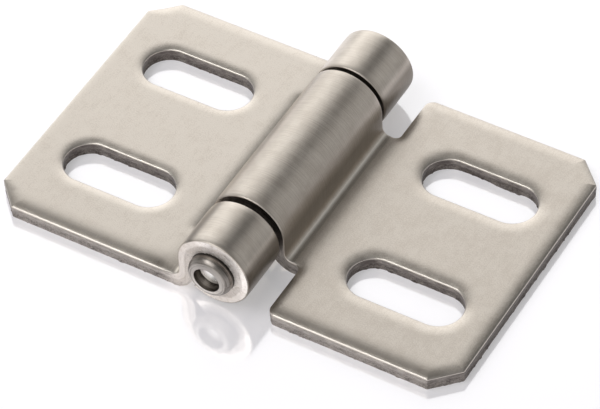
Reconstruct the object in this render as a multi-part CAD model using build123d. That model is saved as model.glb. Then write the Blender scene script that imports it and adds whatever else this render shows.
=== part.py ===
from build123d import *
import math
import os

# A butt hinge of folded sheet steel, lying open. Millimetres, +Z up. The origin is on the
# mounting face, under the middle of the pin. +X runs across the leaves, +Y along the pin.

# Leaf plates
leaf_length = 50.0
leaf_reach = 40.0
sheet_thickness = 2.5
outer_chamfer = 4.0
inner_corner_radius = 1.5
edge_roll = 0.35

# Slotted holes, two in each leaf
slot_length = 19.0
slot_width = 8.0
slot_from_pin = 25.0
slot_pitch = 23.2

# Rolled knuckles
middle_knuckle_length = 29.9
knuckle_side_gap = 1.0
knuckle_lift = 0.25
neck_radius = 1.2
neck_land = 1.4
notch_radius = 1.0
seam_gap = 0.6

# Pin
pin_radius = 3.7
running_clearance = 0.05
groove_radius = 3.4
groove_width = 0.2
head_radius = 3.65
head_land = 0.4
crest_radius = 3.05
crest_height = 1.75
lip_rise = 0.15
recess_radius = 2.15
recess_depth = 1.7
drill_point_angle = 118.0

# The end knuckles are closed tight on the pin, and the middle one turns on it
end_bore_radius = pin_radius
middle_bore_radius = pin_radius + running_clearance
largest_knuckle_radius = middle_bore_radius + sheet_thickness
pin_height = largest_knuckle_radius + knuckle_lift
inner_edge = largest_knuckle_radius + neck_radius + neck_land
cutout_length = middle_knuckle_length + 2 * knuckle_side_gap

# What counts as the same size, and as the same direction, when faces and edges are picked
same_size = 1e-6
same_direction = 0.999


def polar_point(centre, radius, angle):
    """The point at an angle, in degrees, on a circle round a centre."""
    turn = math.radians(angle)
    return (centre[0] + radius * math.cos(turn), centre[1] + radius * math.sin(turn))


def leaf_section(bore_radius):
    """The folded strip seen along the pin: plate, neck bent up out of it, and rolled knuckle."""
    knuckle_radius = bore_radius + sheet_thickness
    knuckle_centre = (0, pin_height)
    neck_outer_radius = neck_radius + sheet_thickness
    neck_x = knuckle_radius + neck_radius
    neck_z = sheet_thickness + neck_radius

    # The roll ends where its outer corner is seam_gap away from the neck's underside
    neck_rise = pin_height - neck_z
    centres_apart = math.hypot(neck_x, neck_rise)
    corner_to_neck = neck_outer_radius + seam_gap
    seam_cosine = (centres_apart**2 + knuckle_radius**2 - corner_to_neck**2) / (
        2 * centres_apart * knuckle_radius
    )
    neck_angle = math.degrees(math.atan2(neck_rise, neck_x))
    roll_sweep = 360 - neck_angle - math.degrees(math.acos(seam_cosine))

    with BuildSketch(Plane.XZ) as section:
        with BuildLine():
            Line((leaf_reach, 0), (neck_x, 0))
            CenterArc((neck_x, neck_z), neck_outer_radius, 270, -90)
            Line((bore_radius, neck_z), (bore_radius, pin_height))
            CenterArc(knuckle_centre, bore_radius, 0, roll_sweep)
            Line(
                polar_point(knuckle_centre, bore_radius, roll_sweep),
                polar_point(knuckle_centre, knuckle_radius, roll_sweep),
            )
            CenterArc(knuckle_centre, knuckle_radius, roll_sweep, -roll_sweep)
            Line((knuckle_radius, pin_height), (knuckle_radius, neck_z))
            CenterArc((neck_x, neck_z), neck_radius, 180, 90)
            Line((neck_x, sheet_thickness), (leaf_reach, sheet_thickness))
            Line((leaf_reach, sheet_thickness), (leaf_reach, 0))
        make_face()
    return section.sketch


def plate_plan():
    """The plate seen from above, without its tongues."""
    width = leaf_reach - inner_edge
    with BuildSketch() as plan:
        with Locations((inner_edge + width / 2, 0)):
            Rectangle(width, leaf_length)
        outer_corners = plan.vertices().group_by(Axis.X)[-1]
        chamfer(outer_corners, outer_chamfer)
    return plan.sketch


def tongue_plan(low_y, high_y):
    """One tongue, from past the far side of its knuckle to the plate."""
    low_x = -2 * largest_knuckle_radius
    middle = Pos((low_x + inner_edge) / 2, (low_y + high_y) / 2)
    return middle * Rectangle(inner_edge - low_x, high_y - low_y)


def slots_plan():
    """The slotted holes of one leaf, each running across the pin."""
    with BuildSketch() as holes:
        with Locations((slot_from_pin, 0)):
            with GridLocations(0, slot_pitch, 1, 2):
                SlotOverall(slot_length, slot_width)
    return holes.sketch


def inner_edge_corners(plan, half_width):
    """The plan's corners on the plate's inner edge, half_width to either side of the middle."""
    return [
        corner
        for corner in plan.vertices()
        if abs(corner.X - inner_edge) < same_size
        and abs(abs(corner.Y) - half_width) < same_size
    ]


def middle_knuckle_plan():
    """The leaf with one wide tongue, and a notch beside each end of it for the end knuckles."""
    half_knuckle = middle_knuckle_length / 2
    plan = plate_plan() + tongue_plan(-half_knuckle, half_knuckle)
    plan = fillet(inner_edge_corners(plan, half_knuckle), notch_radius)
    plan = fillet(inner_edge_corners(plan, leaf_length / 2), inner_corner_radius)
    return plan - slots_plan()


def end_knuckles_plan():
    """The leaf with a tongue at each end, and the cut-out for the middle knuckle between them."""
    half_cutout = cutout_length / 2
    half_leaf = leaf_length / 2
    plan = plate_plan() + tongue_plan(half_cutout, half_leaf) + tongue_plan(-half_leaf, -half_cutout)
    plan = fillet(inner_edge_corners(plan, half_cutout), notch_radius)
    return plan - slots_plan()


def upper_skin(leaf, knuckle_radius):
    """The sheet's upper side after folding: plate top, neck, and the knuckle's outside."""
    skin = []
    for face in leaf.faces():
        if face.geom_type == GeomType.PLANE:
            is_plate_top = face.normal_at().Z > same_direction
            is_neck_wall = abs(face.center().X - knuckle_radius) < same_size
            if is_plate_top or is_neck_wall:
                skin.append(face)
        elif face.geom_type == GeomType.CYLINDER:
            along_pin = abs(face.axis_of_rotation.direction.Y) > same_direction
            is_neck = abs(face.radius - neck_radius) < same_size
            is_knuckle = abs(face.radius - knuckle_radius) < same_size
            if along_pin and (is_neck or is_knuckle):
                skin.append(face)
    return skin


def rolled_edges(leaf, knuckle_radius):
    """The leaf with its upper edges rounded, as blanking leaves them."""
    skin = upper_skin(leaf, knuckle_radius)
    rim = []
    for edge in leaf.edges():
        owners = sum(1 for face in skin if edge in face.edges())
        is_line = edge.geom_type == GeomType.LINE
        along_pin = is_line and abs(edge.tangent_at(0).Y) > same_direction
        at_seam = along_pin and abs(edge.center().X) < knuckle_radius
        if owners == 1 and not at_seam:
            rim.append(edge)
    return fillet(rim, edge_roll)


def folded_leaf(plan, bore_radius):
    """A leaf on the pin's +X side: the strip's section, cut to the plan's outline."""
    strip = extrude(leaf_section(bore_radius), leaf_length, both=True)
    outline = extrude(plan, 2 * pin_height, both=True)
    return rolled_edges(strip & outline, bore_radius + sheet_thickness)


def hinge_pin():
    """The pin, turned about its own axis. Each end stands out as a head, rounded over its shoulder,
    with a narrow groove against the knuckle and a drilled recess in its end face."""
    face_y = leaf_length / 2
    head_y = face_y + groove_width
    shoulder_y = head_y + head_land
    crest_y = face_y + crest_height
    end_y = crest_y + lip_rise
    cone_y = end_y - recess_depth
    tip_y = cone_y - recess_radius / math.tan(math.radians(drill_point_angle / 2))
    with BuildSketch() as half:
        with BuildLine():
            Polyline(
                (0, 0),
                (pin_radius, 0),
                (pin_radius, face_y),
                (groove_radius, face_y),
                (groove_radius, head_y),
                (head_radius, head_y),
                (head_radius, shoulder_y),
            )
            TangentArc((head_radius, shoulder_y), (crest_radius, crest_y), tangent=(0, 1))
            Polyline(
                (crest_radius, crest_y),
                (recess_radius, end_y),
                (recess_radius, cone_y),
                (0, tip_y),
                (0, 0),
            )
        make_face()
    end = revolve(half.sketch, Axis.Y)
    return Pos(0, 0, pin_height) * (end + mirror(end, about=Plane.XZ))


def main():
    os.makedirs("parts", exist_ok=True)
    right_leaf = folded_leaf(middle_knuckle_plan(), middle_bore_radius)
    left_leaf = mirror(folded_leaf(end_knuckles_plan(), end_bore_radius), about=Plane.YZ)
    export_step(right_leaf, "parts/right_leaf.step")
    export_step(left_leaf, "parts/left_leaf.step")
    export_step(hinge_pin(), "parts/hinge_pin.step")


main()
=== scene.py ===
import bpy
import math
from mathutils import Matrix, Vector, noise
from mathutils.geometry import delaunay_2d_cdt
from mathutils.kdtree import KDTree


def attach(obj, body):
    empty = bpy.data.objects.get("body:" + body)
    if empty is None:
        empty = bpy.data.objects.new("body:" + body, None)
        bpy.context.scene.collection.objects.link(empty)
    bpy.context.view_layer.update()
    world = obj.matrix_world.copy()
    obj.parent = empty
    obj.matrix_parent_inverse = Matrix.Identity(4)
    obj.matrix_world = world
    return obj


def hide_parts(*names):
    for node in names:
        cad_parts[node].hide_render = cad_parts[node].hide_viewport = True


# Looks for an open hinge of folded satin steel. Meshes are worked out in millimetres, as flat
# blanks that are then folded, and go into the scene in metres.

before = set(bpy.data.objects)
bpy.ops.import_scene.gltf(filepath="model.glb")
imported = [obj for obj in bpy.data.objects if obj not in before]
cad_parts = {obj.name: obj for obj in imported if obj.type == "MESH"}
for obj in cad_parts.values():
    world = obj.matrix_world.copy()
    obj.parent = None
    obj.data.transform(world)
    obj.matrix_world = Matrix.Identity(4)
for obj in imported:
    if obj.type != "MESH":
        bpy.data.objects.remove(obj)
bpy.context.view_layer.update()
mm = 0.001


# Helpers

class Wire:
    # One socket of a shader. Sums on wires add Math nodes, so shader maths reads as plain maths.
    def __init__(self, tree, socket=None):
        self.tree = tree
        self.socket = socket

    def make(self, kind, settings=None, values=None, out=0):
        # a node of any kind: its settings come first, then what goes into its sockets
        node = self.tree.nodes.new(kind)
        for name, value in (settings or {}).items():
            setattr(node, name, value)
        for name, value in (values or {}).items():
            if isinstance(value, Wire):
                self.tree.links.new(value.socket, node.inputs[name])
            else:
                node.inputs[name].default_value = value
        return Wire(self.tree, node.outputs[out] if node.outputs else None)

    def other(self, out):
        # another socket of the node that this one comes from
        return Wire(self.tree, self.socket.node.outputs[out])

    def combine(self, operation, first, second):
        return self.make("ShaderNodeMath", {"operation": operation}, {0: first, 1: second})

    def __add__(self, other):
        return self.combine("ADD", self, other)

    def __radd__(self, other):
        return self.combine("ADD", other, self)

    def __sub__(self, other):
        return self.combine("SUBTRACT", self, other)

    def __rsub__(self, other):
        return self.combine("SUBTRACT", other, self)

    def __mul__(self, other):
        return self.combine("MULTIPLY", self, other)

    def __rmul__(self, other):
        return self.combine("MULTIPLY", other, self)


def between(wire, low, high, start=0.0, end=1.0):
    # 0 below low, 1 above high, and smooth in between
    return wire.make(
        "ShaderNodeMapRange",
        {"interpolation_type": "SMOOTHSTEP"},
        {"Value": wire, "From Min": low, "From Max": high, "To Min": start, "To Max": end},
    )


def fading(wire, low, high, most=1.0):
    # the other way round: most below low, and 0 above high
    return between(wire, low, high, most, 0.0)


def rise(value, start, length):
    # 0 up to start, and 1 from a length beyond it
    return min(max((value - start) / length, 0.0), 1.0)


def smooth(t):
    return t * t * (3 - 2 * t)


def newMaterial(name):
    material = bpy.data.materials.new(name)
    material.use_nodes = True
    material.node_tree.nodes.clear()
    return material, Wire(material.node_tree)


def newObject(name, data):
    made = bpy.data.objects.new(name, data)
    bpy.context.scene.collection.objects.link(made)
    return made


def storeVectors(mesh, label, values):
    attribute = mesh.attributes.new(label, "FLOAT_VECTOR", "POINT")
    attribute.data.foreach_set("vector", [part for value in values for part in value])


# Camera

camera = {
    "azimuth": 32.261,      # degrees round the hinge, from its front
    "elevation": 47.106,
    "roll": -2.875,
    "distance": 569.277,    # mm
    "aim": (1.268, -2.029, 0.0),
    "focal": 3742.31,       # in pixels of a picture of this width
    "width": 600,
    "sensor": 36.0,
}


def makeCamera():
    az, el, roll = (math.radians(camera[key]) for key in ("azimuth", "elevation", "roll"))
    back = Vector((math.sin(az) * math.cos(el), -math.cos(az) * math.cos(el), math.sin(el)))
    right = Vector((math.cos(az), math.sin(az), 0.0))
    up = back.cross(right)
    rolledRight = right * math.cos(roll) + up * math.sin(roll)
    rolledUp = up * math.cos(roll) - right * math.sin(roll)
    lensData = bpy.data.cameras.new("photoCamera")
    lensData.sensor_width = camera["sensor"]
    lensData.lens = camera["focal"] * camera["sensor"] / camera["width"]
    cameraObject = newObject("photoCamera", lensData)
    turn = Matrix((rolledRight, rolledUp, back)).transposed().to_4x4()
    place = (Vector(camera["aim"]) + back * camera["distance"]) * mm
    cameraObject.matrix_world = Matrix.Translation(place) @ turn
    bpy.context.scene.camera = cameraObject


makeCamera()
print("camera set")


# Studio

studio = {
    "floorRadius": 0.11,    # metres
    "floorDrop": 0.02,      # mm below the mounting face, so that the two don't lie in one plane
    "floorSides": 96,
    "floorColour": (0.91, 0.88, 0.94),
    "floorGloss": 0.33,
    "floorGlossRoughness": 0.10,
    "floorTopUp": 0.32,     # light of its own, so that the floor is as white as the backdrop
    # each soft box: compass direction from +X, elevation, distance, width, height, brightness
    "boxes": {
        "frontBox": (212, 60, 0.75, 0.30, 0.26, 2.6),
        "fillBox": (-112, 58, 0.80, 0.60, 0.60, 1.4),
    },
    # brighter and darker parts of the room: compass, elevation, full within, gone beyond, change
    "parts": {
        "window": (121, 31, 13, 30, 0.97),
        "windowFoot": (143, 10, 10, 25, 0.50),
        "flag": (64, 50, 6, 17, -0.18),
        "rightCard": (44, 30, 8, 26, 0.15),
        "frontCard": (-78, 6, 12, 34, 0.50),
    },
    "overhead": 0.18,
    "horizon": 0.42,
    "upwards": (0.28, 0.86),    # how high a direction points where it leaves one for the other
    "rightSide": 0.70,      # the room on the right is this much of that
    "rightwards": (0.30, 0.85),
}


def direction(compass, elevation):
    a = math.radians(compass)
    e = math.radians(elevation)
    return Vector((math.cos(a) * math.cos(e), math.sin(a) * math.cos(e), math.sin(e)))


def softBox(name, compass, elevation, distance, width, height, brightness):
    away = direction(compass, elevation)
    lamp = bpy.data.lights.new(name, "AREA")
    lamp.shape = "RECTANGLE"
    lamp.size = width
    lamp.size_y = height
    lamp.energy = brightness * math.pi * width * height
    lampObject = newObject(name, lamp)
    lampObject.location = away * distance
    lampObject.rotation_mode = "QUATERNION"
    lampObject.rotation_quaternion = away.to_track_quat("Z", "Y")
    lampObject.visible_camera = False


def makeWorld():
    world = bpy.data.worlds.new("studioWorld")
    world.use_nodes = True
    world.node_tree.nodes.clear()
    bpy.context.scene.world = world
    w = Wire(world.node_tree)
    way = w.make("ShaderNodeTexCoord", out="Generated")
    height = w.make("ShaderNodeSeparateXYZ", {}, {"Vector": way}, out="Z")
    level = between(height, *studio["upwards"], studio["horizon"], studio["overhead"])
    level = level * between(height.other("X"), *studio["rightwards"], 1.0, studio["rightSide"])
    for compass, elevation, full, gone, change in studio["parts"].values():
        near = w.make(
            "ShaderNodeVectorMath",
            {"operation": "DOT_PRODUCT"},
            {0: way, 1: direction(compass, elevation)},
            out="Value",
        )
        outer, inner = math.cos(math.radians(gone)), math.cos(math.radians(full))
        level = level + between(near, outer, inner, 0.0, change)
    room = w.make("ShaderNodeBackground", {}, {"Color": (1, 1, 1, 1), "Strength": level})
    white = w.make("ShaderNodeBackground", {}, {"Color": (1, 1, 1, 1), "Strength": 1.0})
    seen = w.make("ShaderNodeLightPath", out="Is Camera Ray")
    both = w.make("ShaderNodeMixShader", {}, {0: seen, 1: room, 2: white})
    w.make("ShaderNodeOutputWorld", {}, {"Surface": both})


def makeFloor():
    sides, radius = studio["floorSides"], studio["floorRadius"]
    turns = [i * math.tau / sides for i in range(sides)]
    drop = -studio["floorDrop"] * mm
    outline = [(math.cos(a) * radius, math.sin(a) * radius, drop) for a in turns]
    mesh = bpy.data.meshes.new("floor")
    mesh.from_pydata(outline, [], [list(range(sides))])
    floor = newObject("floor", mesh)
    material, w = newMaterial("paleFloor")
    path = w.make("ShaderNodeLightPath", out="Is Camera Ray")
    seen = w.combine("MAXIMUM", path, path.other("Is Glossy Ray"))
    seen = w.combine("MAXIMUM", seen, path.other("Is Transmission Ray"))
    matt = w.make("ShaderNodeBsdfDiffuse", {}, {"Color": (*studio["floorColour"], 1.0)})
    shine = w.make(
        "ShaderNodeBsdfGlossy",
        {},
        {"Color": (1, 1, 1, 1), "Roughness": studio["floorGlossRoughness"]},
    )
    base = w.make("ShaderNodeMixShader", {}, {0: studio["floorGloss"], 1: matt, 2: shine})
    strength = seen * studio["floorTopUp"]
    glow = w.make("ShaderNodeEmission", {}, {"Color": (1, 1, 1, 1), "Strength": strength})
    whole = w.make("ShaderNodeAddShader", {}, {0: base, 1: glow})
    w.make("ShaderNodeOutputMaterial", {}, {"Surface": whole})
    mesh.materials.append(material)


for boxName, boxValues in studio["boxes"].items():
    softBox(boxName, *boxValues)
makeWorld()
makeFloor()
bpy.context.scene.view_settings.view_transform = "Standard"
print("studio set")


# The folded leaves

fold = {
    "sheet": 2.5,
    "pinHeight": 6.5,
    "neckRadius": 1.2,
    "neckLand": 1.4,
    "seamGap": 0.6,
    "widestKnuckle": 6.25,
    "reach": 40.0,
    "halfLength": 25.0,
    "chamfer": 4.0,
    "cornerEase": 0.35,     # small plan rounding of the sharp corners
    "innerRound": 1.5,
    "notchRound": 1.0,
    "slotMiddle": (25.0, 11.6),
    "slotSize": (19.0, 8.0),
    "cutout": 15.95,        # half the length of the gap between the end knuckles
    "knuckle": 14.95,       # half the length of the middle knuckle
    "slide": 0.2,           # how far the middle knuckle sits along the pin, within its play
    "endBore": 3.7,         # radius of the bore through the end knuckles, closed on the pin
    "middleBore": 3.75,
    "tongueEase": 0.2,      # plan rounding at the corners of the tongues' ends
    "slotSliver": 0.0005,   # straight stretch left at each end of a slot, so its arcs don't meet
}

rim = {
    "rollWidth": 2.65,      # how far in the die roll reaches on the plates
    "slotRoll": (2.0, 2.6),     # and round the slots of the left and the right leaf
    "rollSlope": 0.31,      # its slope where it meets the arris
    "rollPower": 1.85,
    "rollStart": 0.8,       # where its curve starts, in radii of the arris
    "narrowest": 0.35,      # share of its width where it is weakest
    "knuckleRoll": 0.4,     # share of that roll on the knuckles and necks
    "knuckleEnd": (6.5, 3.0),   # u where that share starts to grow, and over what length
    "outerRoll": (0.35, 1.0),   # share along the outer edges of the left and the right leaf
    "outerStart": (38.2, 1.8),
    "arris": 0.20,          # radius of the rounded upper edge
    "arrisSteps": 6,
    "spacing": 0.28,        # mm between points along an edge
    "leastSteps": 4,        # in a corner's arc
    "leastRadius": 0.02,
    "leastArc": 0.3,        # radius that a sharper corner's points are counted for
    # how far in the rows of points lie on the upper skin, and on the lower one
    "insets": (2.65, 2.45, 2.25, 2.05, 1.82, 1.6, 1.35, 1.12, 0.9, 0.7, 0.52, 0.36, 0.24),
    "footInsets": (0.22, 1.2, 2.65),
    "farInset": 5.0,        # stands for any place away from the edges
    "sharp": 55,            # degrees from which an edge is shaded sharp
}

# The sheared wall below the arris: a smooth shorn band, then torn metal with a burr at its foot.
# A wave is given by its waves to the mm along the edge and its height.
wall = {
    "shornRows": (0.35, 0.7, 0.97),     # places of the rows down the shorn band
    "tornRows": (0.03, 0.15, 0.3, 0.45, 0.6, 0.74, 0.87, 0.95, 1.0),    # and down the torn metal
    "turn": 1.25,           # depth where the one gives way to the other
    "turnWaves": ((0.35, 0.16), (1.7, 0.07)),
    "shornWave": (2.5, 0.004),
    "tear": 0.035,          # how far the torn metal stands back
    "tearSpeed": 8,         # it has done so after one part in this many of its height
    "lean": 0.03,           # and how much further back it is at its foot
    "grain": 0.035,
    "grainWaves": ((1.9, 2.2, 1.0, 0), (4.3, 4.5, 0.6, 9)),     # along, down, share, noise lane
    "burr": 0.15,
    "burrWaves": ((0.75, 1.0, 7), (2.6, 0.5, 9)),       # along, share, noise lane
    "burrLess": 0.22,       # taken off, so that the burr comes in stretches
    "burrGain": (3, 1.2),   # and what is left of it is raised so much, up to a most
    "burrFrom": 0.85,       # place down the torn metal where it starts
    "insetRange": (-0.05, 0.12),
    "footStart": (1.2, 0.9),    # depth where a broken foot starts, and over what length
    "footWave": (1.3, 0.5, 4),  # along, height, noise lane
    "footMean": 0.8,
    "footDeepest": 0.20,
    "footShade": 1.6,       # how much darker a broken foot is, by its depth
}

# One slot has torn badly as it was punched: its foot is broken out, and beside that it hangs into
# the slot. Leaf, loop, place on the blank, half length and depth into the metal, all in mm.
tears = [
    (2, 2, (21.6, 15.6), 3.6, 0.19),
    (2, 2, (27.6, 15.6), 3.0, -0.30),
    (2, 2, (29.3, 15.6), 0.6, -0.16),
]

# The points inside the borders, closer together where the sheet is bent
field = {
    "firstColumn": 3.1,     # mm from the end of the tongue
    "bentPast": 0.4,        # the close spacing goes on this far past the neck
    "bentStep": (0.40, 1.1),    # mm across and along the pin
    "flatStep": (1.4, 1.4),
    "halfLength": 22,
    "clear": 0.3,           # nearest that a point comes to a border
    "around": (20, 50),     # how far beyond the blank the triangulation's own corners lie
}


def tornBy(p, loopNumber, seed):
    # how far the foot of the wall is broken out here, or hangs into the slot where this is negative
    depth = 0.0
    for leafSeed, loop, place, half, most in tears:
        if (leafSeed, loop) == (seed, loopNumber):
            away = (p - Vector(place)).length / half
            depth += most * max(0.0, 1.0 - away * away) ** 2
    return depth


class Folding:
    # Where a spot of the flat blank lies once the sheet is folded. u is x on the plate, and runs on
    # along the neck and round the knuckle; depth is measured down from the upper skin.
    def __init__(self, bore):
        self.outer = bore + fold["sheet"]
        self.neckX = self.outer + fold["neckRadius"]
        self.neckZ = fold["sheet"] + fold["neckRadius"]
        rise = fold["pinHeight"] - self.neckZ
        apart = math.hypot(self.neckX, rise)
        clear = fold["neckRadius"] + fold["sheet"] + fold["seamGap"]
        cosine = (apart**2 + self.outer**2 - clear**2) / (2 * apart * self.outer)
        self.sweep = math.tau - math.atan2(rise, self.neckX) - math.acos(cosine)
        self.wallU = self.neckX - fold["neckRadius"] * math.pi / 2
        self.rollU = self.wallU - rise
        self.endU = self.rollU - self.outer * self.sweep

    def frame(self, u):
        # a point of the upper skin, and the skin's outward direction there, both in x and z
        if u >= self.neckX:
            return (u, fold["sheet"]), (0.0, 1.0)
        if u >= self.wallU:
            turn = (self.neckX - u) / fold["neckRadius"]
            out = (math.sin(turn), math.cos(turn))
            r = fold["neckRadius"]
            return (self.neckX - r * out[0], self.neckZ - r * out[1]), out
        if u >= self.rollU:
            return (self.outer, self.neckZ + self.wallU - u), (1.0, 0.0)
        turn = (self.rollU - u) / self.outer
        out = (math.cos(turn), math.sin(turn))
        return (self.outer * out[0], fold["pinHeight"] + self.outer * out[1]), out

    def place(self, u, y, depth):
        (x, z), (outX, outZ) = self.frame(u)
        return Vector((x - outX * depth, y, z - outZ * depth))


def rounded(corners, inset, counts=None):
    # The outline through corners (u, y, radius), metal on the left, moved inset into the metal.
    # Gives the points of the curve, in the same number for every inset once counts is known.
    n = len(corners)
    ways = []
    for i in range(n):
        a = Vector(corners[i][:2])
        b = Vector(corners[(i + 1) % n][:2])
        ways.append((b - a).normalized())
    shifted = []
    for i in range(n):
        before, after = ways[i - 1], ways[i]
        leftBefore = Vector((-before.y, before.x))
        leftAfter = Vector((-after.y, after.x))
        mitre = (leftBefore + leftAfter) / (1 + leftBefore.dot(leftAfter))
        shifted.append(Vector(corners[i][:2]) + mitre * inset)
    pieces = []
    for i in range(n):
        before, after = ways[i - 1], ways[i]
        turn = math.atan2(before.x * after.y - before.y * after.x, before.dot(after))
        side = 1 if turn > 0 else -1
        radius = max(corners[i][2] - side * inset, rim["leastRadius"])
        reach = radius * math.tan(abs(turn) / 2)
        start = shifted[i] - before * reach
        left = Vector((-before.y, before.x)) * side
        pieces.append((start, start + left * radius, side, radius, turn, shifted[i] + after * reach))
    if counts is None:
        counts = []
        for i in range(n):
            arcLength = abs(pieces[i][4]) * max(corners[i][2], rim["leastArc"])
            lineLength = (pieces[(i + 1) % n][0] - pieces[i][5]).length
            arcCount = max(rim["leastSteps"], round(arcLength / rim["spacing"]))
            lineCount = 0 if lineLength < 1e-6 else max(1, round(lineLength / rim["spacing"]))
            counts.append((arcCount, lineCount))
    points = []
    for i in range(n):
        start, centre, side, radius, turn, end = pieces[i]
        arcCount, lineCount = counts[i]
        spoke = start - centre
        for k in range(arcCount):
            a = turn * k / arcCount
            points.append(centre + Vector((
                spoke.x * math.cos(a) - spoke.y * math.sin(a),
                spoke.x * math.sin(a) + spoke.y * math.cos(a),
            )))
        nextStart = pieces[(i + 1) % n][0]
        if lineCount:
            for k in range(lineCount):
                points.append(end.lerp(nextStart, k / lineCount))
    return points, counts


def slotCorners(middleY):
    u, halfU, halfY = fold["slotMiddle"][0], fold["slotSize"][0] / 2, fold["slotSize"][1] / 2
    r = halfY - fold["slotSliver"]
    return [
        (u - halfU, middleY - halfY, r),
        (u - halfU, middleY + halfY, r),
        (u + halfU, middleY + halfY, r),
        (u + halfU, middleY - halfY, r),
    ]


def plateCorners(folding, tongues):
    # The outline of a blank. tongues is "ends" for the leaf with the two end knuckles.
    inner = fold["widestKnuckle"] + fold["neckRadius"] + fold["neckLand"]
    h, far, c = fold["halfLength"], fold["reach"], fold["chamfer"]
    ease, notch = fold["cornerEase"], fold["notchRound"]
    outerSide = [(far - c, -h, ease), (far, c - h, ease), (far, h - c, ease), (far - c, h, ease)]
    cutout = fold["cutout"]
    low, high = fold["slide"] - fold["knuckle"], fold["slide"] + fold["knuckle"]
    end = folding.endU
    tip = fold["tongueEase"]
    if tongues == "ends":
        return [(end, -h, tip), *outerSide, (end, h, tip), (end, cutout, tip),
                (inner, cutout, notch), (inner, -cutout, notch), (end, -cutout, tip)]
    return [(inner, -h, fold["innerRound"]), *outerSide, (inner, h, fold["innerRound"]),
            (inner, high, notch), (end, high, tip), (end, low, tip), (inner, low, notch)]


def inside(point, loops):
    # even-odd test against every loop
    hit = False
    x, y = point
    for loop in loops:
        j = len(loop) - 1
        for i in range(len(loop)):
            a, b = loop[i], loop[j]
            if (a.y > y) != (b.y > y) and x < (b.x - a.x) * (y - a.y) / (b.y - a.y) + a.x:
                hit = not hit
            j = i
    return hit


def rollDrop(inset, share, reach):
    # how far the skin has sunk at a distance in from the edge
    width = reach * (rim["narrowest"] + (1 - rim["narrowest"]) * share)
    start = rim["arris"] * rim["rollStart"]
    if inset >= width:
        return 0.0
    t = (width - inset) / (width - start)
    slope = rim["rollSlope"] * share
    return slope * (width - start) / (rim["rollPower"] + 1) * t ** (rim["rollPower"] + 1)


def wobble(a, b, c, seed):
    return noise.noise(Vector((a + seed * 17.3, b - seed * 5.1, c)))


# How light each stretch of the sheared edge is: 0 is dark torn metal, 1 clean bright metal. These
# tones are partly the metal's own and partly painted: painted shade darkens the outer side and the
# slot walls, and painted light makes the knuckle ends lightest over the top.
edgeTones = {
    "side": 0.40,
    "corner": 0.34,
    # painted shade: the outer side and the slot walls are darker
    "outer": 0.22,
    "slot": 0.21,
    # painted light: a knuckle's end is lightest over the top, darker by the neck and at the foot
    "knuckleEnd": (0.82, 1.06, 0.88),   # by the neck, over the top, and at the foot
    "gap": 0.40,
    "near": 0.01,           # how close to an edge's line a point counts as on it, in mm
    "overTop": -10.0,       # x on the blank where a knuckle's end is at its top
    # where the tones change on a knuckle's end: the start in mm, and over what length
    "toFoot": (15.5, 7.0),
    "toNeck": (-6.0, 4.0),
    "toSide": (6.0, 3.5),
}


def toneAt(p, isSlot):
    if isSlot:
        return edgeTones["slot"]
    if abs(p.y) > fold["halfLength"] - edgeTones["near"]:
        # painted light over the top of the knuckle's end
        neck, top, foot = edgeTones["knuckleEnd"]
        if p.x < edgeTones["overTop"]:
            return top + (foot - top) * rise(-p.x, *edgeTones["toFoot"])
        if p.x < 0.0:
            return top + (neck - top) * rise(p.x, *edgeTones["toNeck"])
        return neck + (edgeTones["side"] - neck) * smooth(rise(p.x, *edgeTones["toSide"]))
    if p.x > fold["reach"] - edgeTones["near"]:
        return edgeTones["outer"]
    if p.x > fold["reach"] - fold["chamfer"]:
        return edgeTones["corner"]
    return edgeTones["gap"]


class Shell:
    # The points and faces of one leaf as they are added, with what its materials go by.
    def __init__(self, bore):
        self.folding = Folding(bore)
        self.verts = []
        self.blank = []
        self.rim = []
        self.tones = []
        self.faces = []
        self.zones = []

    def add(self, u, y, depth, along, inset, tone=0.5):
        self.verts.append(self.folding.place(u, y, depth))
        self.blank.append((u, y, depth))
        self.rim.append((along, inset, depth))
        self.tones.append(tone)
        return len(self.verts) - 1

    def addFace(self, corners, zone):
        self.faces.append(tuple(corners))
        self.zones.append(zone)


class Loop:
    # One edge of a blank, its outside or a slot, with what holds at each point along it.
    def __init__(self, corners, number, side, seed):
        self.number = number
        self.seed = seed
        self.edge, counts = rounded(corners, 0.0)
        self.count = len(self.edge)
        insets = {*rim["insets"], *rim["footInsets"]}
        self.rings = {inset: rounded(corners, inset, counts)[0] for inset in insets}
        slotReach, outerRoll = (rim[key][0 if side < 0 else 1] for key in ("slotRoll", "outerRoll"))
        self.reach = slotReach if number else rim["rollWidth"]
        self.along = [0.0]
        for k in range(1, self.count):
            self.along.append(self.along[-1] + (self.edge[k] - self.edge[k - 1]).length)
        self.inward = []
        for k in range(self.count):
            tangent = self.edge[(k + 1) % self.count] - self.edge[k - 1]
            self.inward.append(Vector((-tangent.y, tangent.x)).normalized())
        self.share = []
        for p in self.edge:
            plate = smooth(rise(p.x, *rim["knuckleEnd"]))
            outer = rise(p.x, *rim["outerStart"]) * (1 - outerRoll)
            share = rim["knuckleRoll"] + (1 - rim["knuckleRoll"]) * plate
            self.share.append(share * (1 - outer))
        self.tone = [toneAt(p, number > 0) for p in self.edge]


def skinRows(shell, loop):
    # the upper skin's border, which sinks towards the edge
    rows = []
    for inset in rim["insets"]:
        row = []
        for k, p in enumerate(loop.rings[inset]):
            drop = rollDrop(inset, loop.share[k], loop.reach)
            row.append(shell.add(p.x, p.y, drop, loop.along[k], inset))
        rows.append(row)
    return rows


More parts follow.
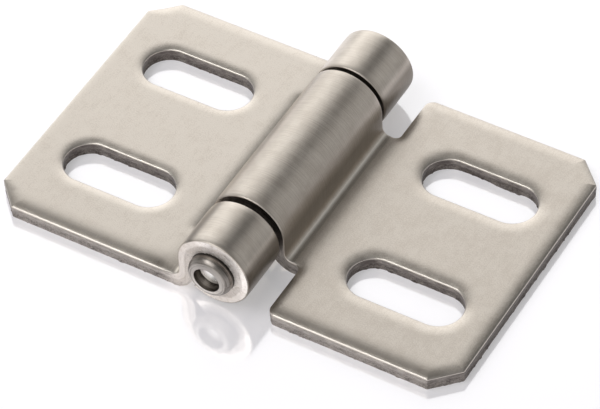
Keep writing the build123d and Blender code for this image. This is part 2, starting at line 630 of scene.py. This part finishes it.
def arrisRows(shell, loop):
    # the rounded arris, from the roll's slope to straight down, and the depths where it ends
    radius, steps = rim["arris"], rim["arrisSteps"]
    rows = []
    for step in range(steps + 1):
        row, ends = [], []
        for k in range(loop.count):
            slope = math.atan(rim["rollSlope"] * loop.share[k])
            tilt = slope + (math.pi / 2 - slope) * step / steps
            inset = radius * (1 - math.sin(tilt))
            top = rollDrop(radius * (1 - math.sin(slope)), loop.share[k], loop.reach)
            depth = top + radius * (math.cos(slope) - math.cos(tilt))
            p = loop.edge[k] + loop.inward[k] * inset
            row.append(shell.add(p.x, p.y, depth, loop.along[k], inset, loop.tone[k]))
            ends.append(depth)
        rows.append(row)
    return rows, ends


def turnDepth(s, loop):
    # how far down the shorn band reaches at a place along the edge
    (slow, slowHeight), (fast, fastHeight) = wall["turnWaves"]
    depth = wall["turn"] + slowHeight * wobble(s * slow, 0, loop.number, loop.seed)
    return depth + fastHeight * wobble(s * fast, 3, loop.number, loop.seed)


def tornInset(s, depth, t, loop):
    # how far in the torn metal stands, at a place t down it
    inset = wall["tear"] * min(t * wall["tearSpeed"], 1) + wall["lean"] * t
    for along, down, share, lane in wall["grainWaves"]:
        grain = wobble(s * along, depth * down, loop.number + lane, loop.seed)
        inset += share * wall["grain"] * grain
    burr = 0.0
    for along, share, lane in wall["burrWaves"]:
        burr += share * wobble(s * along, lane, loop.number, loop.seed)
    gain, most = wall["burrGain"]
    burr = min(max(0.0, burr - wall["burrLess"]) * gain, most)
    inset -= wall["burr"] * burr * max(0.0, (t - wall["burrFrom"]) / (1 - wall["burrFrom"]))
    low, high = wall["insetRange"]
    return min(max(inset, low), high)


def wallPoint(loop, k, isTorn, t, end):
    # depth, inset and darkening of a point of the wall; end is the depth where the arris ends
    s = loop.along[k]
    turn = turnDepth(s, loop)
    if not isTorn:
        waves, height = wall["shornWave"]
        return end + (turn - end) * t, height * wobble(s * waves, 0, loop.number, loop.seed), 0.0
    depth = turn + (fold["sheet"] - turn) * t
    tear = tornBy(loop.edge[k], loop.number, loop.seed)
    foot = rise(depth, *wall["footStart"])
    waves, height, lane = wall["footWave"]
    ragged = wall["footMean"] + height * wobble(s * waves, depth, lane, loop.seed)
    inset = min(tornInset(s, depth, t, loop) + tear * foot * ragged, wall["footDeepest"])
    return depth, inset, wall["footShade"] * max(tear, 0.0) * foot


def wallRows(shell, loop, ends):
    rows = []
    for isTorn, places in ((False, wall["shornRows"]), (True, wall["tornRows"])):
        for t in places:
            row = []
            for k in range(loop.count):
                depth, inset, shade = wallPoint(loop, k, isTorn, t, ends[k])
                p = loop.edge[k] + loop.inward[k] * inset
                row.append(shell.add(p.x, p.y, depth, loop.along[k], inset, loop.tone[k] - shade))
            rows.append(row)
    return rows


def footRows(shell, loop):
    # the lower skin's border
    rows = []
    for inset in rim["footInsets"]:
        row = []
        for k, p in enumerate(loop.rings[inset]):
            row.append(shell.add(p.x, p.y, fold["sheet"], loop.along[k], inset, loop.tone[k]))
        rows.append(row)
    return rows


def addBorder(shell, loop):
    # everything along one edge, and the rows of points where the two skins' fields take over
    rows = skinRows(shell, loop)
    arris, ends = arrisRows(shell, loop)
    rows += arris
    wallStart = len(rows) - 1
    rows += wallRows(shell, loop, ends)
    rows += footRows(shell, loop)
    wallEnd = len(rows) - len(rim["footInsets"])
    for r in range(len(rows) - 1):
        zone = 1 if wallStart <= r < wallEnd else 0
        for k in range(loop.count):
            j = (k + 1) % loop.count
            shell.addFace((rows[r][k], rows[r + 1][k], rows[r + 1][j], rows[r][j]), zone)
    return rows[0], rows[-1]


def fieldPoints(folding, loops, border):
    # the points inside the borders, in columns along the pin
    near = KDTree(len(border))
    for i, p in enumerate(border):
        near.insert((p.x, p.y, 0.0), i)
    near.balance()
    bentEnd = folding.neckX + field["bentPast"]
    found = []
    u = folding.endU + field["firstColumn"]
    while u < fold["reach"] - rim["rollWidth"]:
        across, along = field["bentStep"] if u < bentEnd else field["flatStep"]
        count = int(field["halfLength"] / along)
        for k in range(-count, count + 1):
            p = Vector((u, k * along))
            if inside(p, loops) and near.find((p.x, p.y, 0.0))[2] > field["clear"]:
                found.append(p)
        u += across
    return found


def fillField(shell, borders):
    # the field inside the borders, as one triangulation that both skins share
    inner = rim["rollWidth"]
    loops = [[Vector((round(p.x, 4), round(p.y, 4))) for p in loop.rings[inner]]
             for loop, _, _ in borders]
    border = [p for loop in loops for p in loop]
    edges = []
    first = 0
    for loop in loops:
        edges += [(first + k, first + (k + 1) % len(loop)) for k in range(len(loop))]
        first += len(loop)
    topIndex = [v for _, topRow, _ in borders for v in topRow]
    bottomIndex = [v for _, _, bottomRow in borders for v in bottomRow]
    points = border + fieldPoints(shell.folding, loops, border)
    farU, farY = field["around"]
    ends = (shell.folding.endU - farU, fold["reach"] + farU)
    points += [Vector((u, y)) for u in ends for y in (-farY, farY)]
    result = delaunay_2d_cdt(points, edges, [], 0, 1e-6)
    newPoints, newFaces, origins = result[0], result[2], result[3]
    top, bottom = {}, {}
    for i in range(len(newPoints)):
        source = [o for o in origins[i] if o < len(border)]
        if source:
            top[i] = topIndex[source[0]]
            bottom[i] = bottomIndex[source[0]]
    for face in newFaces:
        middle = sum((newPoints[i] for i in face), Vector((0, 0))) / len(face)
        if not inside(middle, loops):
            continue
        for i in face:
            if i not in top:
                p = newPoints[i]
                top[i] = shell.add(p.x, p.y, 0.0, 0.0, rim["farInset"])
                bottom[i] = shell.add(p.x, p.y, fold["sheet"], 0.0, rim["farInset"])
        shell.addFace((top[i] for i in face), 0)
        shell.addFace((bottom[i] for i in reversed(face)), 0)


def makeLeaf(name, bore, tongues, side, seed):
    # side is -1 for the leaf on the pin's -X side, which is made as its mirror image; the seed
    # also tells the leaves apart in the list of tears
    shell = Shell(bore)
    outlines = [plateCorners(shell.folding, tongues)]
    for middleY in (-fold["slotMiddle"][1], fold["slotMiddle"][1]):
        outlines.append(slotCorners(middleY))
    borders = []
    for number, corners in enumerate(outlines):
        loop = Loop(corners, number, side, seed)
        borders.append((loop, *addBorder(shell, loop)))
    fillField(shell, borders)
    verts, faces = shell.verts, shell.faces
    if side < 0:
        verts = [Vector((-v.x, v.y, v.z)) for v in verts]
        faces = [tuple(reversed(face)) for face in faces]
    mesh = bpy.data.meshes.new(name)
    mesh.from_pydata([v * mm for v in verts], [], faces)
    mesh.update()
    storeVectors(mesh, "blank", shell.blank)
    storeVectors(mesh, "rim", shell.rim)
    mesh.attributes.new("tone", "FLOAT", "POINT").data.foreach_set("value", shell.tones)
    mesh.polygons.foreach_set("material_index", shell.zones)
    mesh.polygons.foreach_set("use_smooth", [True] * len(faces))
    mesh.set_sharp_from_angle(angle=math.radians(rim["sharp"]))
    print(name, len(verts), "points,", sum(len(face) - 2 for face in faces), "triangles")
    return newObject(name, mesh)


# Noises are given by their scales to the mm, shift, detail and roughness
satin = {
    "light": (0.785, 0.720, 0.640),
    "dark": (0.665, 0.600, 0.525),
    "noises": {
        "grain": ((4.5, 4.5, 2.0), 0.0, 3.0, 0.55),
        "mottle": ((0.35, 0.35, 0.35), 4.0, 4.0, 0.6),
        "mill": ((4.5, 0.22, 0.3), 6.0, 3.0, 0.6),      # the mill's faint lines, along the pin
        "smudge": ((1.1, 0.8, 0.8), 12.0, 3.0, 0.7),
        "streak": ((0.14, 5.0, 0.3), 0.0, 3.0, 0.65),   # drawn as the knuckle was rolled
        "fine": ((0.238, 15.0, 0.3), 9.0, 2.0, 0.55),
    },
    "grainDepth": 0.018,    # mm
    "streakDepth": 0.045,
    # how much each noise changes the tint, and the plate's roughness
    "tints": {"grain": 2.2, "mill": 0.9, "smudge": 1.1, "mottle": 1.7, "streak": 2.3},
    "plateRoughness": 0.33,
    "roughening": {"mottle": 0.10, "grain": 0.06, "smudge": 0.08, "streak": 0.24},
    "dulled": 0.42,         # roughness of the knuckles' own ends
    "neckRoughness": 0.40,
    # Painted shade: the metal is coloured darker where shade falls, in the crook of the neck, beside
    # it and in the crease, under the knuckle, in the left leaf's nook and down its near knuckle, and
    # along the front edges.
    "paintedShade": 0.43,           # how much darker the metal is in the crook of the neck
    "landShade": 0.22,       # on the plate next to it, and in the crease between the two
    "creaseShade": 0.22,
    "nookShade": 1.1,        # where the left leaf's front edge meets its neck
    "seamShade": 0.70,       # in a streak down the left leaf's near knuckle
    "edgeShade": 0.34,       # and along the front edges
    "paintedShadeColour": (0.13, 0.11, 0.09),
    "leftLift": 0.25,       # the left leaf is this much nearer the light colour
    # painted highlight: a light line of colour along the bend of the neck
    "bendHighlight": (0.95, 0.89, 0.80),
    "bendLineShare": 0.9,
    "wornColour": (0.76, 0.71, 0.65),
    "wornShares": (0.6, 0.7),   # of the worn colour, and of the worn roughness
    "wornRoughness": 0.26,
    # for each leaf: the knuckle's roughness, its share of the streaks' depth, and the painted shade
    # under it by the u where it starts, the u where it is full, and how much
    "left": (0.335, 0.8, (-13.4, -15.1, 0.72)),
    "right": (0.39, 1.0, (-10.5, -11.9, 0.34)),
}

# Where the satin changes, in mm: by u unless it is said otherwise, from the one to the other
bands = {
    "knuckle": (4.5, 7.5),
    "crookStart": (-1.6, 2.2),
    "crookEnd": (4.9, 6.5),
    "landStart": (7.05, 7.25),
    "landEnd": (7.5, 11.0),
    "creaseEnd": (7.5, 7.75),
    "lineStart": (6.42, 6.68),
    "lineEnd": (6.85, 7.08),
    "neckStart": (4.2, 5.6),
    "neckEnd": (8.4, 9.6),
    "nookStart": (7.0, 8.0),
    "nookEnd": (8.0, 15.0),
    "nookY": (-24.8, -20.0),
    "seamStart": (-4.4, -2.8),
    "seamEnd": (-2.8, -0.3),
    "seamY": (-16.0, -15.0),
    "frontStart": (8.5, 10.5),
    "frontY": (-24.5, -21.2),
    "frontInset": (0.12, 0.34),
    "wornInset": (0.10, 0.50),
    "wornDepth": (1.0, 1.4),
}

shorn = {
    "light": (0.72, 0.665, 0.615),
    "dark": (0.085, 0.07, 0.064),
    # the knuckle ends' faced metal, which also carries painted light where they are lightest over
    # the top
    "facedAndLit": (0.93, 0.88, 0.83),
    "dirt": (0.09, 0.07, 0.06),
    "stain": (0.46, 0.39, 0.315),
    "smoothRoughness": 0.36,
    "tornRoughness": 0.55,
    "noises": {
        "draw": ((0.7, 0.5, 5.0), 0.0, 3.0, 0.65),      # shearing marks
        "rough": ((3.2, 3.2, 3.2), 5.0, 4.0, 0.65),
        "cloud": ((0.55, 0.5, 0.8), 2.0, 3.0, 0.6),
        "fleck": ((1.6, 1.3, 1.3), 8.0, 4.0, 0.7),
    },
    "turn": (1.16, 1.36),   # depths between which the shorn band gives way to torn metal
    "waver": 0.5,           # how much those waver
    "shown": (0.55, 0.5, 0.9),      # how much the marks, the clouding and the torn grain show
    "specks": (0.78, 0.92),
    "specksShare": (0.8, 0.15),     # of dirt specks on dark edges, and on clean ones
    "stains": (0.60, 0.92),
    "stainsShare": (0.2, 0.6),
    "cleanFrom": (0.5, 0.9),        # tones between which an edge counts as dark and as clean
    "brightFrom": (0.90, 1.05),
    "roughened": 0.15,
    "drawDepth": 0.05,      # mm
    "tornDepth": 0.10,
}


def noisesOf(w, parts, table):
    # the noises of a table, over a place given by its three parts
    found = []
    for scales, shift, detail, roughness in table.values():
        a, b, c = (part * scale for part, scale in zip(parts, scales))
        place = w.make("ShaderNodeCombineXYZ", {}, {"X": a + shift, "Y": b, "Z": c})
        values = {"Vector": place, "Scale": 1.0, "Detail": detail, "Roughness": roughness}
        found.append(w.make("ShaderNodeTexNoise", {}, values))
    return found


def partsOf(w, attribute):
    source = w.make("ShaderNodeAttribute", {"attribute_name": attribute}, out="Vector")
    split = w.make("ShaderNodeSeparateXYZ", {}, {"Vector": source})
    return [split.other(part) for part in ("X", "Y", "Z")]


def blended(w, share, first, second):
    a = first if isinstance(first, Wire) else (*first, 1.0)
    b = second if isinstance(second, Wire) else (*second, 1.0)
    return w.make("ShaderNodeMix", {"data_type": "RGBA"}, {0: share, 6: a, 7: b}, out=2)


def finished(w, colour, roughness, height, depth):
    bump = w.make("ShaderNodeBump", {}, {"Height": height, "Distance": depth * mm, "Strength": 1.0})
    shader = w.make(
        "ShaderNodeBsdfPrincipled",
        {},
        {"Base Color": colour, "Metallic": 1.0, "Roughness": roughness, "Normal": bump},
    )
    w.make("ShaderNodeOutputMaterial", {}, {"Surface": shader})


def satinPaintedShade(u, y, inset, grain, smudge, under, isLeft):
    # painted shade in the crook of the neck, under the knuckle, and along the front edges
    landStart = between(u, *bands["landStart"])
    crook = between(u, *bands["crookStart"]) * fading(u, *bands["crookEnd"]) * satin["paintedShade"]
    land = fading(u, *bands["landEnd"], satin["landShade"]) * landStart
    crease = fading(u, *bands["creaseEnd"], satin["creaseShade"]) * landStart
    start, full, most = under
    paintedShade = crook + land + crease + fading(u, full, start, most)
    if isLeft:
        nook = fading(u, *bands["nookEnd"]) * between(u, *bands["nookStart"])
        nook = nook * fading(y, *bands["nookY"])
        paintedShade = paintedShade + nook * (0.08 + smudge * 0.6) * satin["nookShade"]
        seam = between(u, *bands["seamStart"]) * fading(u, *bands["seamEnd"], satin["seamShade"])
        paintedShade = paintedShade + seam * fading(y, *bands["seamY"])
    front = fading(y, *bands["frontY"], satin["edgeShade"]) * between(u, *bands["frontStart"])
    front = front * between(inset, *bands["frontInset"])
    return paintedShade + front * (0.3 + grain * 1.4)


def makeSatin(name, leafLook, isLeft):
    knuckleRoughness, streakShare, under = leafLook
    streakDepth = satin["streakDepth"] * streakShare
    material, w = newMaterial(name)
    u, y, depth = partsOf(w, "blank")
    _, inset, rimDepth = partsOf(w, "rim")
    knuckle = fading(u, *bands["knuckle"])
    plate = 1 - knuckle
    grain, mottle, mill, smudge, streak, fine = noisesOf(w, (u, y, depth), satin["noises"])
    # the upper edge is polished by the die and by handling
    worn = fading(inset, *bands["wornInset"]) * fading(rimDepth, *bands["wornDepth"])
    plateWorn = worn * plate
    tints = satin["tints"]
    sheet = (grain - 0.5) * tints["grain"] + (mill - 0.5) * tints["mill"]
    sheet = sheet + (smudge - 0.5) * tints["smudge"]
    tint = (mottle - 0.5) * tints["mottle"] + sheet * plate
    tint = tint + (streak - 0.5) * tints["streak"] * knuckle
    if isLeft:
        tint = tint + plate * satin["leftLift"]
    # painted shade in the crook, under the knuckle and along the front edges
    paintedShade = satinPaintedShade(u, y, inset, grain, smudge, under, isLeft)
    # painted highlight along the bend of the neck
    line = between(u, *bands["lineStart"]) * fading(u, *bands["lineEnd"])
    colour = blended(w, between(tint, -0.5, 0.5), satin["dark"], satin["light"])
    colour = blended(w, line * satin["bendLineShare"], colour, satin["bendHighlight"])
    colour = blended(w, paintedShade * (0.8 + mottle * 0.4), colour, satin["paintedShadeColour"])
    wornTint, wornSmooth = satin["wornShares"]
    colour = blended(w, plateWorn * wornTint, colour, satin["wornColour"])
    rougher = satin["roughening"]
    flat = satin["plateRoughness"] + (mottle - 0.5) * rougher["mottle"]
    flat = flat + (grain - 0.5) * rougher["grain"] + (smudge - 0.5) * rougher["smudge"]
    rolled = knuckleRoughness + (streak - 0.5) * rougher["streak"]
    roughness = flat + (rolled - flat) * knuckle
    neck = between(u, *bands["neckStart"]) * fading(u, *bands["neckEnd"])
    roughness = roughness + (satin["neckRoughness"] - roughness) * neck
    roughness = roughness + (satin["wornRoughness"] - roughness) * plateWorn * wornSmooth
    roughness = roughness + (satin["dulled"] - roughness) * worn * knuckle
    ratio = satin["grainDepth"] / streakDepth
    drawn = (streak * 0.85 + fine * 0.15) * knuckle * (1 - worn * 0.85) * (1 - neck * 0.7)
    finished(w, colour, roughness, grain * ratio * plate + drawn, streakDepth)
    return material


def makeShorn():
    material, w = newMaterial("shornEdge")
    along, inset, depth = partsOf(w, "rim")
    tone = w.make("ShaderNodeAttribute", {"attribute_name": "tone"}, out="Fac")
    draw, rough, cloud, fleck = noisesOf(w, (along, inset, depth), shorn["noises"])
    waver, (marks, clouds, grains) = shorn["waver"], shorn["shown"]
    torn = between(depth + (draw - 0.5) * waver + (cloud - 0.5) * waver, *shorn["turn"])
    # the tone carries painted shade on the outer side and the slot walls, and painted light on the
    # knuckle ends
    light = tone + (draw - 0.5) * marks + (cloud - 0.5) * clouds
    light = light + (rough - 0.5) * torn * grains
    colour = blended(w, between(light, 0.0, 1.0), shorn["dark"], shorn["light"])
    byTone = shorn["cleanFrom"]
    specks = between(rough + cloud * 0.4, *shorn["specks"])
    specks = specks * between(tone, *byTone, *shorn["specksShare"])
    colour = blended(w, specks, colour, shorn["dirt"])
    # painted light: the highest tones, over the top of the knuckle ends, take the lighter faced
    # colour
    facedAndLit = between(tone, *shorn["brightFrom"]) * (1.0 - (rough - 0.5))
    colour = blended(w, facedAndLit, colour, shorn["facedAndLit"])
    stain = between(fleck + cloud * 0.3, *shorn["stains"])
    stain = stain * between(tone, *byTone, *shorn["stainsShare"])
    colour = blended(w, stain, colour, shorn["stain"])
    shiny, bare = shorn["smoothRoughness"], shorn["tornRoughness"]
    roughness = shiny + torn * (bare - shiny) + (draw - 0.5) * shorn["roughened"]
    ratio = shorn["drawDepth"] / shorn["tornDepth"]
    height = draw * ratio * (1 - torn * 0.6) + rough * torn
    finished(w, colour, roughness, height, shorn["tornDepth"])
    return material


shornEdge = makeShorn()
leftLeaf = makeLeaf("leftLeaf", fold["endBore"], "ends", -1, 1)
rightLeaf = makeLeaf("rightLeaf", fold["middleBore"], "middle", 1, 2)
leftLeaf.data.materials.append(makeSatin("satinLeft", satin["left"], True))
rightLeaf.data.materials.append(makeSatin("satinRight", satin["right"], False))
for leaf in (leftLeaf, rightLeaf):
    leaf.data.materials.append(shornEdge)
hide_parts("left_leaf")
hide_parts("right_leaf")
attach(leftLeaf, "left")
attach(rightLeaf, "right")
print("leaves made")


# Pin

pin = {
    "radius": 3.7,
    "groove": (3.4, 0.2),           # radius and width of the groove at the knuckle
    "head": (3.65, 0.4),            # radius and width of the straight part of the head
    "crest": (3.05, 1.75),          # radius and height over the knuckle's face
    "recess": (2.15, 1.9),          # radius and height of the recess's edge
    "recessDepth": 1.7,
    "drillAngle": 118.0,
    "around": 160,
    "light": (0.42, 0.385, 0.35),
    "dark": (0.16, 0.143, 0.128),
    "lip": (0.43, 0.40, 0.37),
    # painted shade in the groove, on the head next to the knuckle's face
    "grooveShade": (0.03, 0.025, 0.02),
    "coneEdge": (0.50, 0.46, 0.42),
    # colour of the painted shade in the recess
    "hole": (0.12, 0.105, 0.09),
    # the drilled cone's bright metal with a painted highlight: almost white at its centre
    "cone": (0.98, 0.96, 0.93),
    "roughness": 0.33,
    "ridgeDepth": 0.03,
    "eased": (0.07, 0.02),          # how far the head's lower edge is eased, in two steps
    "shoulderStart": 0.25,          # where the straight part of the head ends, over the groove
    "curveSteps": 14,
    # marks turned into the crest: distance in from its edge, and depth
    "marks": ((0.03, 0.003), (0.09, 0.0), (0.17, 0.0), (0.20, 0.05), (0.25, 0.05),
              (0.28, 0.0), (0.40, 0.0), (0.55, 0.0), (0.70, 0.0), (0.80, 0.0)),
    "boreMark": 0.025,              # depth of the drill's marks on the recess's wall
    "coneMark": 0.012,              # and on its cone
    # parts of the look, by the distance in mm from the edge they go by
    "holeEdge": (0.02, 0.10),       # from the recess's radius
    "shaded": (0.95, 1.30),         # from the recess's foot
    "coneTo": (-0.05, 0.10),
    "lipFrom": (1.70, 1.80),        # from the knuckle's face
    "grooveShadeTo": (0.20, 0.55),
    "coneDarkens": (1.2, 2.0),      # radii between which the cone goes to its edge's colour
    "tints": (0.35, 0.62),
    "shaft": (20.0, 15.0, 5.0, -5.0, -15.0, -20.0),     # y of the rows along the shaft
    "noises": {
        "ridge": ((9.0, 9.0, 3.0), 0.0, 2.0, 0.55),     # turning marks
        "cloud": ((0.8, 0.8, 9.0), 3.0, 3.0, 0.6),
    },
}


def pinProfile():
    # radius and height over the knuckle's face, from the groove to the tip of the drilled cone
    groove, grooveWidth = pin["groove"]
    head, headWidth = pin["head"]
    crest, crestHeight = pin["crest"]
    recess, top = pin["recess"]
    shoulder = grooveWidth + headWidth
    run, rise = head - crest, crestHeight - shoulder
    swing = (run**2 + rise**2) / (2 * run)      # the shoulder's rounding touches the head's side
    wide, narrow = pin["eased"]
    # the bare offsets below are small easings of its corners, in mm
    path = [
        (pin["radius"], -0.06),
        (pin["radius"] - 0.05, 0.0),
        (groove, 0.005),
        (groove, grooveWidth - 0.005),
        (head - wide, grooveWidth),
        (head - narrow, grooveWidth + narrow),
        (head, grooveWidth + wide),
        (head, grooveWidth + pin["shoulderStart"]),
    ]
    steps = pin["curveSteps"]
    last = math.asin(rise / swing)
    for k in range(steps + 1):
        a = (last - 0.05) * k / steps
        path.append((head - swing + swing * math.cos(a), shoulder + swing * math.sin(a)))
    slope = (top - crestHeight) / (crest - recess)
    for r, sunk in pin["marks"]:
        path.append((crest - r, crestHeight + slope * r - sunk))
    path += [(recess + 0.07, top - 0.012), (recess + 0.02, top - 0.03), (recess, top - 0.08)]
    bottom = top - pin["recessDepth"]
    for k in range(1, steps + 1):
        h = top - 0.08 - (pin["recessDepth"] - 0.10) * k / steps
        path.append((recess - pin["boreMark"] * (k % 2), h))
    cone = math.tan(math.radians(pin["drillAngle"] / 2))
    path.append((recess - 0.05, bottom - 0.02))
    for k in range(1, steps + 1):
        r = (recess - 0.05) * (1 - k / (steps + 1))
        path.append((r, bottom - (recess - r) / cone - pin["coneMark"] * (k % 2)))
    return path, bottom - recess / cone


def makePin():
    path, tip = pinProfile()
    half = fold["halfLength"]
    rows = [(r, half + h) for r, h in reversed(path)]
    rows += [(pin["radius"], y) for y in pin["shaft"]]
    rows += [(r, -half - h) for r, h in path]
    n = pin["around"]
    verts, turned, faces = [], [], []
    for r, y in rows:
        for k in range(n):
            a = math.tau * k / n
            verts.append((r * math.cos(a) * mm, y * mm, (fold["pinHeight"] + r * math.sin(a)) * mm))
            turned.append((r, y, k / n))
    for row in range(len(rows) - 1):
        for k in range(n):
            j = (k + 1) % n
            faces.append((row * n + k, row * n + j, (row + 1) * n + j, (row + 1) * n + k))
    for row, y in ((0, half + tip), (len(rows) - 1, -half - tip)):
        verts.append((0.0, y * mm, fold["pinHeight"] * mm))
        turned.append((0.0, y, 0.0))
        for k in range(n):
            j = (k + 1) % n
            ring = (row * n + k, row * n + j)
            faces.append((len(verts) - 1, *(ring if row else ring[::-1])))
    faces = [tuple(reversed(f)) for f in faces]
    mesh = bpy.data.meshes.new("hingePin")
    mesh.from_pydata(verts, [], faces)
    mesh.update()
    storeVectors(mesh, "turned", turned)
    mesh.polygons.foreach_set("use_smooth", [True] * len(faces))
    print("hingePin", len(verts), "points")
    return newObject("hingePin", mesh)


def movedBy(start, pair):
    return start + pair[0], start + pair[1]


def makeTurned():
    material, w = newMaterial("turnedSteel")
    r, y, turn = partsOf(w, "turned")
    ridge, cloud = noisesOf(w, (r, y, turn), pin["noises"])
    out = w.combine("ABSOLUTE", y, 0.0)
    face = fold["halfLength"]
    hole, rimHeight = pin["recess"]
    bottom = face + rimHeight - pin["recessDepth"]
    inHole = fading(r, *movedBy(hole, pin["holeEdge"]))
    shaded = inHole * between(out, *movedBy(bottom, pin["shaded"]))
    inCone = inHole * fading(out, *movedBy(bottom, pin["coneTo"]))
    tint = between(cloud * 0.6 + ridge * 0.4, *pin["tints"])
    colour = blended(w, tint, pin["dark"], pin["light"])
    onLip = between(out, *movedBy(face, pin["lipFrom"])) * (1 - inHole)
    colour = blended(w, onLip, colour, pin["lip"])
    # painted shade: the head goes near black next to the knuckle's face, where the groove lies in
    # shade
    foot = fading(out, *movedBy(face, pin["grooveShadeTo"]))
    colour = blended(w, foot * 0.9, colour, pin["grooveShade"])
    # painted shade on the recess's wall near its mouth
    colour = blended(w, shaded * 0.85, colour, pin["hole"])
    # painted highlight: the cone is almost white at its centre and goes to its edge's colour further
    # out
    coneAndHighlight = blended(w, between(r, *pin["coneDarkens"]), pin["cone"], pin["coneEdge"])
    colour = blended(w, inCone, colour, coneAndHighlight)
    roughness = pin["roughness"] + (cloud - 0.5) * 0.15 - inCone * 0.18
    finished(w, colour, roughness, ridge * (0.35 + 0.65 * inHole), pin["ridgeDepth"])
    return material


hingePin = makePin()
hingePin.data.materials.append(makeTurned())
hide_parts("hinge_pin")
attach(hingePin, "left")
print("pin made")
